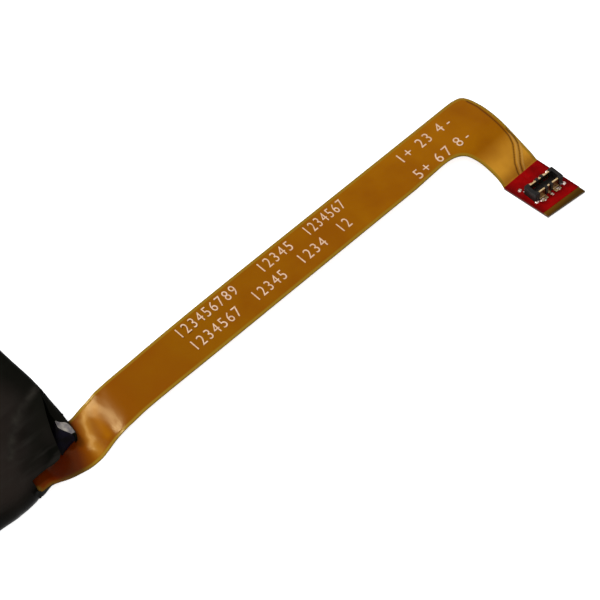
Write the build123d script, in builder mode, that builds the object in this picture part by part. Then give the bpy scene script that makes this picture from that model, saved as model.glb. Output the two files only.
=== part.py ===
from build123d import *
import math
import os

# A flat lithium-polymer phone battery, lying on its back, with its connector flex.
# X runs across the battery, Y along it towards the terminal end, and Z up.
# The origin is the centre of the battery's back face.

# Battery outline
PACK_WIDTH = 54.0
PACK_LENGTH = 86.0
PACK_THICKNESS = 3.7
SIDE_RADIUS = 1.2
END_RADIUS = 0.6
FILM_THICKNESS = 0.1
FIT = 0.03

# Pouch cell: the body, its folded side seals and its terminal terrace
TERMINAL_ROOM = 10.2
SEAL_THICKNESS = 0.3
SEAL_EDGE_GAP = 0.05
TERRACE_LENGTH = 5.6
TERRACE_WIDTH = 48.0
TERRACE_THICKNESS = 0.3
TERRACE_HEIGHT = 0.35
TERRACE_CORNER = 1.5

# Tape around the terminal end, with its open mouth at the flex corner
TAPE_LAP = 4.8
TAPE_JOINT = 0.15
TAPE_END_HEIGHT = 3.3
# Places on the mouth are distances from the battery's side and from its terminal end
MOUTH_WIDTH = 9.2
MOUTH_MIDDLE = (5.3, 2.1)
MOUTH_TIP = (1.3, 3.8)
NOTCH_WIDTH = 0.8
NOTCH_DEPTH = 8.0
FLAP_TIP_HEIGHT = 1.1
FLAP_FLEX_GAP = 0.16
FOLD_WIDTH = 3.1
FOLD_LENGTH = 1.65
FOLD_HEIGHT = 0.95
CORNER_CUT = 2.0

# Cell tabs and their sealing strips
TAB_WIDTH = 4.0
TAB_THICKNESS = 0.1
TAB_SIDE_MARGIN = 17.0
TAB_REACH = 1.6
SEALANT_WIDTH = 5.6
SEALANT_LENGTH = 0.6
SEALANT_THICKNESS = 0.34
INSULATOR_THICKNESS = 0.08
INSULATOR_MARGIN = 0.5

# Protection board, which lies over the terrace with its parts facing down
BOARD_LEFT_MARGIN = 5.0
BOARD_RIGHT_MARGIN = 1.6
BOARD_CELL_GAP = 0.4
BOARD_DEPTH = 3.2
BOARD_THICKNESS = 0.6
BOARD_HEIGHT = 1.75
PLATE_LENGTH = 4.6
PLATE_DEPTH = 2.6
PLATE_THICKNESS = 0.15
CHIP_MARGIN = 3.0
CHIP_GAP = 0.8
MOSFET_SIZE = (2.0, 2.0, 0.75)
IC_SIZE = (1.6, 1.6, 0.6)
FUSE_SIZE = (3.2, 1.6, 0.6)
SENSE_SIZE = (2.0, 1.25, 0.5)
RESISTOR_SIZE = (1.0, 0.5, 0.35)
CAPACITOR_SIZE = (1.0, 0.5, 0.5)
THERMISTOR_SIZE = (1.6, 0.8, 0.75)
MOSFET_COUNT = 2
RESISTOR_COUNT = 3
CAPACITOR_COUNT = 3

# Foam pad that fills the tape above the board
FOAM_THICKNESS = 0.42
FOAM_LIFT = 0.08
FOAM_SIDE_MARGIN = 2.0
FOAM_MOUTH_GAP = 0.8
FOAM_END_GAP = 0.6

# Flex circuit: root on the board, two bends at the mouth, straight run, short arm to the connector
FLEX_THICKNESS = 0.16
FLEX_WIDTH = 6.0
FLEX_OVERHANG = 0.56
FLEX_SOLDER_THICKNESS = 0.09
FLEX_ROOT_GAP = 0.2
FLEX_ROOT_LENGTH = 2.8
FLEX_SIDE_GAP = 0.1
BEND_SOFTNESS = 0.38
# Low and high points of the bends, as distances beyond the terminal end and heights
RIGHT_DIP = (-0.9, 0.29)
LEFT_DIP = (0.0, 0.42)
RIGHT_CREST = (6.0, 2.58)
LEFT_CREST = (7.0, 1.9)
RUN_START = 23.0
RUN_HEIGHT = 2.5
RUN_REACH = 61.3
ARM_WIDTH = 6.1
ARM_TIP_WIDTH = 5.4
TURN_RADIUS = 2.35
ARM_LENGTH = 5.75
ARM_FIRST_PULL = 1.04
ARM_LAST_PULL = (2.2, 0.69)
PAD_SIZE = (0.7, 1.6)
PAD_COUNT = 4
PAD_PITCH = 1.0
PAD_EDGE = 0.75

# Connector end of the flex, stiffened and resting on its root edge
END_LENGTH = 6.65
END_WIDTH = 5.65
END_TILT = 4.1
STIFFENER_THICKNESS = 0.17
MASK_LENGTH = 5.75
MASK_THICKNESS = 0.04

# Board-to-board connector with two power contacts and one signal contact on each side
CONNECTOR_PLACE = 3.3
CONNECTOR_OFFSET = 0.05
CONNECTOR_TURN = -4.0
HOUSING_LENGTH = 4.4
HOUSING_WIDTH = 1.9
HOUSING_HEIGHT = 1.15
HOUSING_CORNER = 0.15
TROUGH_LENGTH = 3.5
TROUGH_WIDTH = 1.05
TROUGH_FLOOR = 0.25
CONTACT_THICKNESS = 0.09
CONTACT_LIFT = 0.005
CONTACT_TAIL = 0.5
CONTACT_TOP = 0.03
CONTACT_BEND = 0.08
SLOT_CLEARANCE = 0.05
POWER_WIDTH = 0.9
POWER_PITCH = 1.04
SIGNAL_WIDTH = 0.3
HOLD_DOWN_INSET = 0.3
HOLD_DOWN_WIDTH = 0.36
HOLD_DOWN_THICKNESS = 0.08
HOLD_DOWN_FOOT = 0.14
SOLDER_RADIUS = 0.2
SOLDER_WEDGE = (0.25, 0.09)
SOLDER_GAP = 0.02

os.makedirs("parts", exist_ok=True)

pack_end = PACK_LENGTH / 2
cell_end = pack_end - TERMINAL_ROOM
tape_start = cell_end - TAPE_LAP
board_start = cell_end + BOARD_CELL_GAP
board_middle = board_start + BOARD_DEPTH / 2
board_top = BOARD_HEIGHT + BOARD_THICKNESS
plate_top = board_top + PLATE_THICKNESS
terrace_top = TERRACE_HEIGHT + TERRACE_THICKNESS
terrace_end = cell_end + TERRACE_LENGTH
side = PACK_WIDTH / 2
board_left = BOARD_LEFT_MARGIN - side
board_right = side - BOARD_RIGHT_MARGIN
mouth_left = side - MOUTH_WIDTH
flex_right = side + FLEX_OVERHANG
flex_left = flex_right - FLEX_WIDTH
run_start = pack_end + RUN_START
run_end = pack_end + RUN_REACH
root_height = board_top + FLEX_SOLDER_THICKNESS + FLEX_THICKNESS
notch_line = pack_end - NOTCH_DEPTH
tape_inside = side - FILM_THICKNESS
slope = (PACK_THICKNESS - TAPE_END_HEIGHT) / TERMINAL_ROOM


def save(piece, name):
    """Label a finished piece and write it out."""
    piece.part.label = name
    export_step(piece.part, f"parts/{name}.step")


def slab(inset, y_start, y_end, side_inset=0.0):
    """The battery's rounded slab between two stations, drawn in from the outside by a margin."""
    with BuildPart() as body:
        with BuildSketch(Plane.XZ.offset(-y_end)):
            with Locations((0, PACK_THICKNESS / 2)):
                RectangleRounded(
                    PACK_WIDTH - 2 * (inset + side_inset),
                    PACK_THICKNESS - 2 * inset,
                    SIDE_RADIUS - inset,
                )
        extrude(amount=y_end - y_start)
    return body.part


def rounded_slab(inset, y_start, y_end, end_axis, side_inset=0.0):
    """The slab with the edges of its closed end rounded over."""
    with BuildPart() as body:
        add(slab(inset, y_start, y_end, side_inset))
        fillet(body.faces().sort_by(end_axis)[-1].edges(), END_RADIUS - inset)
    return body.part


# The cell's back end faces -Y and the tape's closed end faces +Y
BACK = Axis((0, 0, 0), (0, -1, 0))

# Pouch cell
cell_inset = FILM_THICKNESS + FIT
with BuildPart() as pouch_cell:
    add(rounded_slab(cell_inset, cell_inset - pack_end, cell_end, BACK, SEAL_THICKNESS))
    seal_height = PACK_THICKNESS - 2 * (SIDE_RADIUS + SEAL_EDGE_GAP)
    seal_length = PACK_LENGTH - TERMINAL_ROOM - 2 * (cell_inset + END_RADIUS)
    seal_place = side - cell_inset - SEAL_THICKNESS
    for x in (-seal_place, seal_place):
        with BuildSketch(Plane.XY.offset((PACK_THICKNESS - seal_height) / 2)):
            with Locations((x, -TERMINAL_ROOM / 2)):
                Rectangle(2 * SEAL_THICKNESS, seal_length)
        extrude(amount=seal_height)
    with BuildSketch(Plane.XY.offset(TERRACE_HEIGHT)) as terrace:
        with Locations((0, cell_end)):
            Rectangle(TERRACE_WIDTH, 2 * TERRACE_LENGTH)
        fillet(terrace.vertices().group_by(Axis.Y)[-1], TERRACE_CORNER)
    extrude(amount=TERRACE_THICKNESS)
save(pouch_cell, "pouch_cell")

# Film around the cell body, closed over the back end
with BuildPart() as body_film:
    film_end = tape_start - TAPE_JOINT
    add(rounded_slab(0, -pack_end, film_end, BACK))
    add(rounded_slab(FILM_THICKNESS, FILM_THICKNESS - pack_end, film_end, BACK), mode=Mode.SUBTRACT)
save(body_film, "body_film")


def tape_block(inset):
    """The block that the end tape encloses, sloping down from the cell to the end of the pack."""
    with BuildPart() as block:
        add(rounded_slab(inset, tape_start, pack_end - inset, Axis.Y))
        with BuildSketch(Plane.YZ.offset(-PACK_WIDTH)):
            with BuildLine():
                Polyline(
                    (cell_end, PACK_THICKNESS - inset),
                    (pack_end + END_RADIUS, TAPE_END_HEIGHT - inset - slope * END_RADIUS),
                    (pack_end + END_RADIUS, 2 * PACK_THICKNESS),
                    (cell_end, 2 * PACK_THICKNESS),
                    close=True,
                )
            make_face()
        extrude(amount=2 * PACK_WIDTH, mode=Mode.SUBTRACT)
    return block.part


# End tape: top and side walls cut back around the flex, lower wall trimmed, and a folded-over flap tip
with BuildPart() as end_wrap:
    add(tape_block(0))
    add(tape_block(FILM_THICKNESS), mode=Mode.SUBTRACT)
    beyond_side = side + FLEX_WIDTH
    wall_line = pack_end - END_RADIUS
    with BuildSketch(Plane.XY.offset(FILM_THICKNESS)):
        with BuildLine():
            Polyline(
                (mouth_left, wall_line),
                (side - MOUTH_MIDDLE[0], pack_end - MOUTH_MIDDLE[1]),
                (side - MOUTH_TIP[0], pack_end - MOUTH_TIP[1]),
                (side - NOTCH_WIDTH, notch_line),
                (beyond_side, notch_line),
                (beyond_side, wall_line),
                close=True,
            )
        make_face()
    extrude(amount=2 * PACK_THICKNESS, mode=Mode.SUBTRACT)
    flap_end = flex_left - FLAP_FLEX_GAP
    with BuildSketch(Plane.XZ.offset(-pack_end - END_RADIUS)):
        with BuildLine():
            Polyline(
                (mouth_left, TAPE_END_HEIGHT),
                (flap_end, FLAP_TIP_HEIGHT),
                (flap_end, FILM_THICKNESS),
                (beyond_side, FILM_THICKNESS),
                (beyond_side, 2 * PACK_THICKNESS),
                (mouth_left, 2 * PACK_THICKNESS),
                close=True,
            )
        make_face()
    extrude(amount=2 * END_RADIUS, mode=Mode.SUBTRACT)
    with BuildSketch(Plane.XY.offset(-FILM_THICKNESS)):
        with BuildLine():
            Polyline(
                (side, notch_line),
                (side - CORNER_CUT, notch_line + CORNER_CUT),
                (side - CORNER_CUT, pack_end + END_RADIUS),
                (beyond_side, pack_end + END_RADIUS),
                (beyond_side, notch_line),
                close=True,
            )
        make_face()
    extrude(amount=PACK_THICKNESS / 2, mode=Mode.SUBTRACT)
    with BuildSketch(Plane.XY.offset(FOLD_HEIGHT)):
        with Locations((flap_end - FIT, pack_end - FILM_THICKNESS / 2)):
            Rectangle(FOLD_WIDTH, FOLD_LENGTH, align=(Align.MIN, Align.MAX))
    extrude(amount=FILM_THICKNESS)
save(end_wrap, "end_wrap")

# Tabs that leave the terrace, turn back over the board and lie on its plates
tab_low = TERRACE_HEIGHT + TERRACE_THICKNESS / 2
tab_high = plate_top + TAB_THICKNESS / 2
tab_turn = terrace_end + TAB_REACH
for name, place in (("positive", side - TAB_SIDE_MARGIN), ("negative", TAB_SIDE_MARGIN - side)):
    with BuildPart() as tab:
        with BuildSketch(Plane.YZ.offset(place - TAB_WIDTH / 2)):
            with BuildLine():
                Line((terrace_end, tab_low), (tab_turn, tab_low))
                CenterArc((tab_turn, (tab_low + tab_high) / 2), (tab_high - tab_low) / 2, -90, 180)
                Line((tab_turn, tab_high), (board_middle - PLATE_DEPTH / 2, tab_high))
            trace(line_width=TAB_THICKNESS)
        extrude(amount=TAB_WIDTH)
    save(tab, f"{name}_tab")
    with BuildPart() as sealant:
        with BuildSketch(Plane.XZ.offset(-terrace_end)):
            with Locations((place, tab_low)):
                Rectangle(SEALANT_WIDTH, SEALANT_THICKNESS)
                Rectangle(TAB_WIDTH + 2 * FIT, TAB_THICKNESS + 2 * FIT, mode=Mode.SUBTRACT)
        extrude(amount=-SEALANT_LENGTH)
    save(sealant, f"{name}_tab_sealant")
    with BuildPart() as plate:
        with BuildSketch(Plane.XY.offset(board_top)):
            with Locations((place, board_middle)):
                Rectangle(PLATE_LENGTH, PLATE_DEPTH)
        extrude(amount=PLATE_THICKNESS)
    save(plate, f"{name}_nickel_plate")

# Insulating strip on the terrace
with BuildPart() as terrace_insulator:
    with BuildSketch(Plane.XY.offset(terrace_top + FIT)):
        with Locations((0, (cell_end + terrace_end) / 2)):
            Rectangle(TERRACE_WIDTH - 2 * INSULATOR_MARGIN, TERRACE_LENGTH - 2 * INSULATOR_MARGIN)
    extrude(amount=INSULATOR_THICKNESS)
save(terrace_insulator, "terrace_insulator")

# Protection board
with BuildPart() as protection_board:
    with BuildSketch(Plane.XY.offset(BOARD_HEIGHT)) as outline:
        with Locations(((board_left + board_right) / 2, board_middle)):
            Rectangle(board_right - board_left, BOARD_DEPTH)
        fillet(outline.vertices(), BOARD_THICKNESS / 2)
    extrude(amount=BOARD_THICKNESS)
save(protection_board, "protection_board")


def chips(name, size, start, count=1):
    """Chips of one kind in a row under the protection board, from a place along it. Returns the next free place."""
    length, depth, height = size
    pitch = length + CHIP_GAP
    with BuildPart() as group:
        with BuildSketch(Plane.XY.offset(BOARD_HEIGHT - height)):
            with Locations([(start + length / 2 + i * pitch, board_middle) for i in range(count)]):
                Rectangle(length, depth)
        extrude(amount=height)
    save(group, name)
    return start + count * pitch


free_place = chips("fuse", FUSE_SIZE, board_left + CHIP_MARGIN)
free_place = chips("sense_resistor", SENSE_SIZE, free_place)
free_place = chips("mosfets", MOSFET_SIZE, free_place, MOSFET_COUNT)
free_place = chips("protection_ic", IC_SIZE, free_place)
free_place = chips("chip_resistors", RESISTOR_SIZE, free_place, RESISTOR_COUNT)
free_place = chips("chip_capacitors", CAPACITOR_SIZE, free_place, CAPACITOR_COUNT)
free_place = chips("id_resistor", RESISTOR_SIZE, free_place)
chips("thermistor", THERMISTOR_SIZE, free_place)

# Foam pad between the board and the tape
with BuildPart() as foam_pad:
    with BuildSketch(Plane.XY.offset(tab_high + TAB_THICKNESS / 2 + FOAM_LIFT)):
        with Locations((FOAM_SIDE_MARGIN - side, board_start)):
            Rectangle(
                mouth_left - FOAM_MOUTH_GAP - FOAM_SIDE_MARGIN + side,
                pack_end - FOAM_END_GAP - board_start,
                align=(Align.MIN, Align.MIN),
            )
    extrude(amount=FOAM_THICKNESS)
save(foam_pad, "foam_pad")

# Solder between the protection board and the flex root
with BuildPart() as flex_solder:
    with BuildSketch(Plane.XY.offset(board_top)):
        with Locations([(flex_left + PAD_EDGE + i * PAD_PITCH, board_middle) for i in range(PAD_COUNT)]):
            Rectangle(*PAD_SIZE)
    extrude(amount=FLEX_SOLDER_THICKNESS)
save(flex_solder, "flex_solder")


def bend(start, end, drop=0.0):
    """An S-shaped bend between two points that is level at both ends, lowered by a drop."""
    pull = BEND_SOFTNESS * (end[0] - start[0])
    return Bezier(
        (start[0], start[1] - drop),
        (start[0] + pull, start[1] - drop),
        (end[0] - pull, end[1] - drop),
        (end[0], end[1] - drop),
    )


def flex_side(dip, crest, drop):
    """One side of the flex in profile, from its root on the board to the start of the straight run."""
    root = (board_start + FLEX_ROOT_GAP, root_height)
    top = (root[0] + FLEX_ROOT_LENGTH, root_height)
    Line((root[0], root[1] - drop), (top[0], top[1] - drop))
    bend(top, dip, drop)
    bend(dip, crest, drop)
    bend(crest, (run_start, RUN_HEIGHT), drop)


# Bent stretch of the flex, which falls and rises a little later along its left side
with BuildPart() as flex_bends:
    for x, low, high in ((flex_left, LEFT_DIP, LEFT_CREST), (flex_right, RIGHT_DIP, RIGHT_CREST)):
        dip = (pack_end + low[0], low[1])
        crest = (pack_end + high[0], high[1])
        with BuildSketch(Plane.YZ.offset(x)):
            with BuildLine():
                flex_side(dip, crest, 0)
                flex_side(dip, crest, FLEX_THICKNESS)
                for y, height in ((board_start + FLEX_ROOT_GAP, root_height), (run_start, RUN_HEIGHT)):
                    Line((y, height), (y, height - FLEX_THICKNESS))
            make_face()
    loft(ruled=True)
    with BuildSketch(Plane.XY):
        with Locations((tape_inside - FLEX_SIDE_GAP, notch_line + FLEX_SIDE_GAP)):
            Rectangle(FLEX_WIDTH, TERMINAL_ROOM, align=(Align.MIN, Align.MAX))
    extrude(amount=PACK_THICKNESS, mode=Mode.SUBTRACT)

# Frame of the connector end: its root rests on the ground and it rises towards its tip
tilt = math.radians(END_TILT)
end_root = flex_right + ARM_LENGTH
end_centre = run_end - ARM_WIDTH / 2
end_root_height = (FLEX_THICKNESS + STIFFENER_THICKNESS) * math.cos(tilt)
end_plane = Plane(
    origin=(end_root, end_centre, end_root_height),
    x_dir=(math.cos(tilt), 0, math.sin(tilt)),
    z_dir=(-math.sin(tilt), 0, math.cos(tilt)),
)

# Flex circuit: the straight run and the arm are one bent sheet cut to the outline
with BuildPart() as flex_circuit:
    arm_points = (
        (flex_right, RUN_HEIGHT),
        (flex_right + ARM_FIRST_PULL, RUN_HEIGHT),
        (end_root - ARM_LAST_PULL[0], end_root_height + ARM_LAST_PULL[1]),
        (end_root, end_root_height),
    )
    with BuildSketch(Plane.XZ.offset(-run_end - TURN_RADIUS)):
        with BuildLine():
            for drop in (0, FLEX_THICKNESS):
                Line((flex_left, RUN_HEIGHT - drop), (flex_right, RUN_HEIGHT - drop))
                Bezier(*[(x, z - drop) for x, z in arm_points])
            for x, z in ((flex_left, RUN_HEIGHT), (end_root, end_root_height)):
                Line((x, z), (x, z - FLEX_THICKNESS))
        make_face()
    extrude(amount=run_end + TURN_RADIUS - run_start)
    with BuildSketch(Plane.XY) as outline:
        with BuildLine():
            Polyline(
                (flex_left, run_start),
                (flex_left, run_end),
                (flex_right, run_end),
                (end_root, end_centre + ARM_TIP_WIDTH / 2),
                (end_root, end_centre - ARM_TIP_WIDTH / 2),
                (flex_right, run_end - ARM_WIDTH),
                (flex_right, run_start),
                close=True,
            )
        make_face()
        outer = outline.vertices().sort_by_distance((flex_left, run_end))[0]
        inner = outline.vertices().sort_by_distance((flex_right, run_end - ARM_WIDTH))[0]
        fillet([outer, inner], TURN_RADIUS)
    extrude(amount=2 * PACK_THICKNESS, mode=Mode.INTERSECT)
    add(flex_bends.part)
    with BuildSketch(end_plane.offset(-FLEX_THICKNESS)):
        Rectangle(END_LENGTH, END_WIDTH, align=(Align.MIN, Align.CENTER))
        with Locations((-FLEX_THICKNESS, 0)):
            Rectangle(2 * FLEX_THICKNESS, ARM_TIP_WIDTH, align=(Align.MIN, Align.CENTER))
    extrude(amount=FLEX_THICKNESS)
save(flex_circuit, "flex_circuit")

# Stiffener under the connector end and red solder mask over it
with BuildPart() as stiffener:
    with BuildSketch(end_plane.offset(-FLEX_THICKNESS)):
        Rectangle(END_LENGTH, END_WIDTH, align=(Align.MIN, Align.CENTER))
    extrude(amount=-STIFFENER_THICKNESS)
save(stiffener, "stiffener")

with BuildPart() as red_mask:
    with BuildSketch(end_plane):
        Rectangle(MASK_LENGTH, END_WIDTH, align=(Align.MIN, Align.CENTER))
    extrude(amount=MASK_THICKNESS)
save(red_mask, "red_mask")

# Frame of the connector, on the mask
connector = Plane(
    end_plane.location
    * Location((CONNECTOR_PLACE, CONNECTOR_OFFSET, MASK_THICKNESS), (0, 0, CONNECTOR_TURN))
)
contact_rows = ((-POWER_PITCH, POWER_WIDTH), (0, SIGNAL_WIDTH), (POWER_PITCH, POWER_WIDTH))
hold_down_place = HOUSING_LENGTH / 2 - HOLD_DOWN_INSET
foot_end = HOUSING_WIDTH / 2 + HOLD_DOWN_FOOT
tail_end = HOUSING_WIDTH / 2 + CONTACT_TAIL

# Housing with a trough and one slot for each contact
with BuildPart() as connector_housing:
    with BuildSketch(connector) as plan:
        Rectangle(HOUSING_WIDTH, HOUSING_LENGTH)
        fillet(plan.vertices(), HOUSING_CORNER)
        for y, width in contact_rows:
            for sign in (-1, 1):
                with Locations((sign * (TROUGH_WIDTH + HOUSING_WIDTH) / 4, y)):
                    Rectangle(
                        (HOUSING_WIDTH - TROUGH_WIDTH) / 2,
                        width + 2 * SLOT_CLEARANCE,
                        mode=Mode.SUBTRACT,
                    )
    extrude(amount=HOUSING_HEIGHT)
    with BuildSketch(connector.offset(TROUGH_FLOOR)):
        Rectangle(TROUGH_WIDTH, TROUGH_LENGTH)
    extrude(amount=HOUSING_HEIGHT, mode=Mode.SUBTRACT)
    with BuildSketch(connector):
        with Locations((0, hold_down_place), (0, -hold_down_place)):
            Rectangle(2 * HOUSING_WIDTH, HOLD_DOWN_WIDTH)
    extrude(amount=HOLD_DOWN_THICKNESS, mode=Mode.SUBTRACT)
save(connector_housing, "connector_housing")


def contact(sign, y, width):
    """One contact: tail on the board, up through its slot, over the wall and down beside the trough."""
    low = CONTACT_LIFT + CONTACT_THICKNESS / 2
    high = HOUSING_HEIGHT - CONTACT_TOP - CONTACT_THICKNESS / 2
    outside = HOUSING_WIDTH / 2 - CONTACT_THICKNESS
    inside = TROUGH_WIDTH / 2 + CONTACT_THICKNESS
    section = Plane(
        origin=connector.from_local_coords((0, y - width / 2, 0)),
        x_dir=connector.x_dir,
        z_dir=-connector.y_dir,
    )
    with BuildPart() as spring:
        with BuildSketch(section):
            with BuildLine():
                FilletPolyline(
                    (sign * tail_end, low),
                    (sign * outside, low),
                    (sign * (outside - CONTACT_BEND), high),
                    (sign * inside, high),
                    (sign * inside, TROUGH_FLOOR + CONTACT_BEND),
                    radius=CONTACT_BEND,
                )
            trace(line_width=CONTACT_THICKNESS)
        extrude(amount=-width)
    return spring


power_count = 0
signal_count = 0
for y, width in contact_rows:
    for sign in (-1, 1):
        if width == POWER_WIDTH:
            power_count += 1
            save(contact(sign, y, width), f"power_contact_{power_count}")
        else:
            signal_count += 1
            save(contact(sign, y, width), f"signal_contact_{signal_count}")

# Straps under the housing ends, whose feet are soldered down
with BuildPart() as hold_downs:
    with BuildSketch(connector):
        with Locations((0, hold_down_place), (0, -hold_down_place)):
            Rectangle(2 * foot_end, HOLD_DOWN_WIDTH)
    extrude(amount=HOLD_DOWN_THICKNESS)
save(hold_downs, "hold_downs")

# Solder at the four feet and in front of the six tails
with BuildPart() as connector_solder:
    for sign in (-1, 1):
        for end in (-1, 1):
            dome = connector.location * Location(
                (sign * (foot_end + SOLDER_GAP + SOLDER_RADIUS), end * hold_down_place, 0)
            )
            with Locations(dome):
                Sphere(SOLDER_RADIUS, arc_size1=0, align=(Align.CENTER, Align.CENTER, Align.MIN))
        for y, width in contact_rows:
            heel = sign * (tail_end + SOLDER_GAP)
            section = Plane(
                origin=connector.from_local_coords((0, y - width / 2, 0)),
                x_dir=connector.x_dir,
                z_dir=-connector.y_dir,
            )
            with BuildSketch(section):
                with BuildLine():
                    Polyline((heel, 0), (heel + sign * SOLDER_WEDGE[0], 0), (heel, SOLDER_WEDGE[1]), close=True)
                make_face()
            extrude(amount=-width)
save(connector_solder, "connector_solder")
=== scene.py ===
import bmesh
import bpy
import numpy as np
from math import copysign, cos, exp, pi, radians, sin, tan
from mathutils import Euler, Matrix, Vector, noise


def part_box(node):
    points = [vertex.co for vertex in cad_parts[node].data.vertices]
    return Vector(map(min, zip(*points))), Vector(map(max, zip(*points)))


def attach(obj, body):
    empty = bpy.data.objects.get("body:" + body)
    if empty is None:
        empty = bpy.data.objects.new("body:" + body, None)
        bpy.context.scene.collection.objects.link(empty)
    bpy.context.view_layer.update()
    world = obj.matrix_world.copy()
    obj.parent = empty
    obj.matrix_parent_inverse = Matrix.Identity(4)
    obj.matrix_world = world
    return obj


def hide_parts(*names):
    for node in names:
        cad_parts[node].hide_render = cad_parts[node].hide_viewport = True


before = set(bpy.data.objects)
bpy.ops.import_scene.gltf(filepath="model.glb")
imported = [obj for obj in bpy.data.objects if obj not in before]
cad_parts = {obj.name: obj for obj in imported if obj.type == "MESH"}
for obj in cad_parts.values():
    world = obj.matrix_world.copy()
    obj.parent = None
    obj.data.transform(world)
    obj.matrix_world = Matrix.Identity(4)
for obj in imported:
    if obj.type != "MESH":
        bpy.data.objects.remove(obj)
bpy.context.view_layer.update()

# A flat phone battery on its back. Lengths are millimetres in the frame of the CAD model, and MM
# takes them to metres. X runs across the battery, Y along it towards the flex, and Z up.
MM = 0.001

# Camera: the photograph's angle, from the front right and above
CAMERA_PLACE = (114.246, -15.442, 174.821)
CAMERA_ELEVATION = radians(54.98)
CAMERA_AZIMUTH = radians(44.9)
CAMERA_LENS = 118.02
SENSOR_WIDTH = 36.0
CAMERA_CLIP = 0.005

# Battery, from its packed boxes
film_low, film_high = [Vector(corner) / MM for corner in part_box("body_film")]
tape_low, tape_high = [Vector(corner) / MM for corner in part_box("end_wrap")]
SIDE = film_high.x
PACK_END = tape_high.y
PACK_THICKNESS = film_high.z
CELL_END = 32.8
TAPE_END_HEIGHT = 3.3
SIDE_RADIUS = 1.2
END_RADIUS = 0.6

# Flex: its two edges, and heights of its top along them and down its arm
FLEX_LEFT = 21.65
FLEX_RIGHT = 27.52
FLEX_THICKNESS = 0.16
RUN_HEIGHT = 2.5
LEFT_HEIGHTS = (
    (33.4, 2.6), (36, 2.6), (37, 2.45), (38.2, 1.95), (39.4, 1.45), (40.6, 1), (41.8, 0.62),
    (42.8, 0.47), (43.6, 0.5), (44.4, 0.64), (45.1, 0.82), (45.9, 1.03), (46.6, 1.25), (47.3, 1.48),
    (48, 1.67), (48.8, 1.81), (50, 1.9), (51.6, 1.97), (53.7, 2.11), (57.3, 2.29), (61.5, 2.42),
    (66, 2.48), (70, 2.5),
)
RIGHT_HEIGHTS = (
    (33.4, 2.6), (36, 2.6), (36.8, 2.5), (37.4, 2.26), (38, 1.87), (38.6, 1.52), (39.2, 1.21),
    (39.9, 0.92), (40.5, 0.66), (41.2, 0.42), (41.9, 0.3), (42.5, 0.33), (43.2, 0.5), (43.9, 0.84),
    (44.6, 1.25), (45.2, 1.58), (45.8, 1.83), (46.5, 2.04), (47.4, 2.24), (48.5, 2.4), (50, 2.52),
    (52.5, 2.56), (57, 2.52), (66, 2.5),
)
ARM_HEIGHTS = (
    (26.2, 2.5), (27, 2.43), (27.56, 2.34), (28.2, 2.2), (29, 1.98), (30, 1.72), (31, 1.43),
    (32, 1.1), (32.65, 0.82), (33, 0.58), (33.33, 0.34),
)
# Small shifts in X of the flex's left and right edges near the tape
LEFT_SHIFTS = (
    (42.4, 0), (43, 0.1), (43.7, 0.16), (44.3, 0.09), (44.9, 0.01), (46.2, -0.03), (47.2, -0.09),
    (48.4, -0.03), (49.5, 0),
)
RIGHT_SHIFTS = (
    (35.5, 0), (36, -0.07), (36.5, -0.1), (36.9, -0.04), (37.4, 0.03), (38.2, 0.07), (41.5, 0.07),
    (43, 0.05), (44.5, 0),
)
ARM_START = (94.0, 98.5)
# Small lifts of the flex in its bend near the tape, in micrometres, by place across and along
BEND_ACROSS = (21.69, 22.6, 23.6, 24.6, 25.6, 26.5, 27.48)
BEND_ALONG = (40.5, 51.0, 0.5)
BEND_LIFTS = (
    (0, -5, -9, -13, -13, -9, -2), (1, -20, -43, -64, -68, -42, 1),
    (0, -30, -61, -96, -123, -43, 17), (0, -25, -49, -55, -54, -2, 2),
    (6, -3, -17, -40, 8, 24, -1), (21, 17, -12, -47, 14, 24, 16),
    (34, 22, -38, -59, -25, 15, 14), (21, -4, -40, -68, -39, 3, 28),
    (-7, -17, -30, -67, -54, -2, 49), (-9, -8, -26, -43, -35, -15, 18),
    (4, 12, -2, -18, -22, -25, 20), (27, 21, 9, 1, -1, -9, 8),
    (26, 1, 1, 9, 11, 4, -14), (-30, -15, 3, 14, 21, 9, -50),
    (-39, -8, 11, 22, 32, 9, -37), (-12, 11, 26, 33, 35, 22, -5),
    (0, 20, 40, 52, 45, 25, 5), (3, 19, 32, 39, 34, 21, 5),
    (2, 10, 16, 18, 16, 10, 2), (0, 2, 2, 3, 2, 2, 0),
)
STEP_PLACE = 35.1
STEP_EDGE = 26.8

# Flat end of the flex, as the corners of its root and tip
END_ROOT = 33.33
END_HEIGHT = 0.329
END_TILT = radians(4.1)
ROOT_TOP = (33.33, 104.09)
ROOT_LOW = (33.33, 98.39)
TIP_TOP = (40.3, 104.18)
TIP_LOW = (39.72, 98.56)
MASK_TOP = (39.4, 104.165)
MASK_LOW = (39.02, 98.54)
MASK_THICKNESS = 0.04
MASK_SINK = 0.9
STIFFENER_THICKNESS = 0.17


def add_object(name, data):
    """A new object in the scene."""
    made = bpy.data.objects.new(name, data)
    bpy.context.scene.collection.objects.link(made)
    return made


def make_camera():
    """The camera that sees the object as the photograph does."""
    data = bpy.data.cameras.new("camera")
    data.sensor_width = SENSOR_WIDTH
    data.lens = CAMERA_LENS
    data.clip_start = CAMERA_CLIP
    camera = add_object("camera", data)
    camera.location = Vector(CAMERA_PLACE) * MM
    camera.rotation_euler = Euler((pi / 2 - CAMERA_ELEVATION, 0, CAMERA_AZIMUTH))
    bpy.context.scene.camera = camera


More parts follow.
